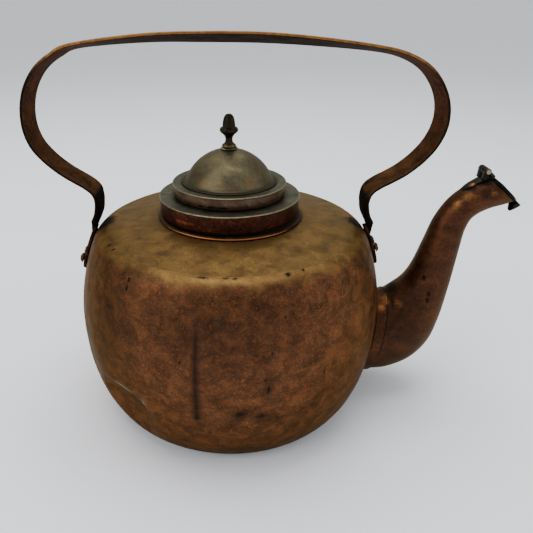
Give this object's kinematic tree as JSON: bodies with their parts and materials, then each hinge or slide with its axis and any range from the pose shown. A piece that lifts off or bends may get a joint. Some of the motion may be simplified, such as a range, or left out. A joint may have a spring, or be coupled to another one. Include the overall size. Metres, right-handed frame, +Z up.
{
  "type": "kettle",
  "caption": "Round sheet-copper kettle with a gooseneck spout and hinged mouth flap, fixed strap handle, and stepped lift-off lid with an acorn finial.",
  "frame": {"origin": "centre of the flat base's underside, on the body's axis", "axes": "+X from the axis to the spout, +Z up, +Y across the handle's strap"},
  "size_m": [0.3674, 0.238, 0.2869],
  "materials": {
    "wall_copper": "brown patinated hammered copper sheet, semi-matt, dark pits and stains",
    "shoulder_copper": "golden olive brown patina on copper, semi-matt with a soft sheen",
    "dark_copper": "dark brown oxidised copper, semi-matt",
    "collar_copper": "brown copper with an orange worn patch",
    "bright_copper": "worn bright copper edge",
    "handle_copper": "brown and olive oxidised copper strap, darker at its ends",
    "band_copper": "deep red brown copper",
    "lid_copper": "olive grey patina with pale worn edges",
    "finial_brass": "near black brown brass, brassy at its foot",
    "black_copper": "black oxidised copper",
    "rivet_copper": "dark brown copper rivets"
  },
  "bodies": {
    "kettle": {"body_wall": "wall_copper", "base_plate": "dark_copper", "shoulder_plate": "shoulder_copper", "neck_ring": "bright_copper", "spout_tube": "dark_copper", "spout_collar": "collar_copper", "hinge_bracket": "black_copper", "hinge_pin": "black_copper", "handle_strap": "handle_copper", "rivet_left_1": "rivet_copper", "rivet_burr_left_1": "rivet_copper", "rivet_left_2": "rivet_copper", "rivet_burr_left_2": "rivet_copper", "rivet_right_1": "rivet_copper", "rivet_burr_right_1": "rivet_copper", "rivet_right_2": "rivet_copper", "rivet_burr_right_2": "rivet_copper"},
    "lid": {"lid_skirt": "band_copper", "lid_ledge": "lid_copper", "lid_step_band": "lid_copper", "lid_step_ledge": "lid_copper", "lid_dome": "lid_copper", "lid_finial": "finial_brass", "finial_washer": "bright_copper", "finial_burr": "bright_copper"},
    "flap": {"spout_flap": "black_copper"}
  },
  "joints": [
    {"name": "lid_lift", "type": "slide", "parent": "kettle", "child": "lid", "axis": [0, 0, 1], "range_m": [0, 0.04]},
    {"name": "flap_hinge", "type": "hinge", "parent": "kettle", "child": "flap", "pos_m": [0.18948, 0, 0.19123], "axis": [0, -1, 0], "range_deg": [0, 110]}
  ]
}
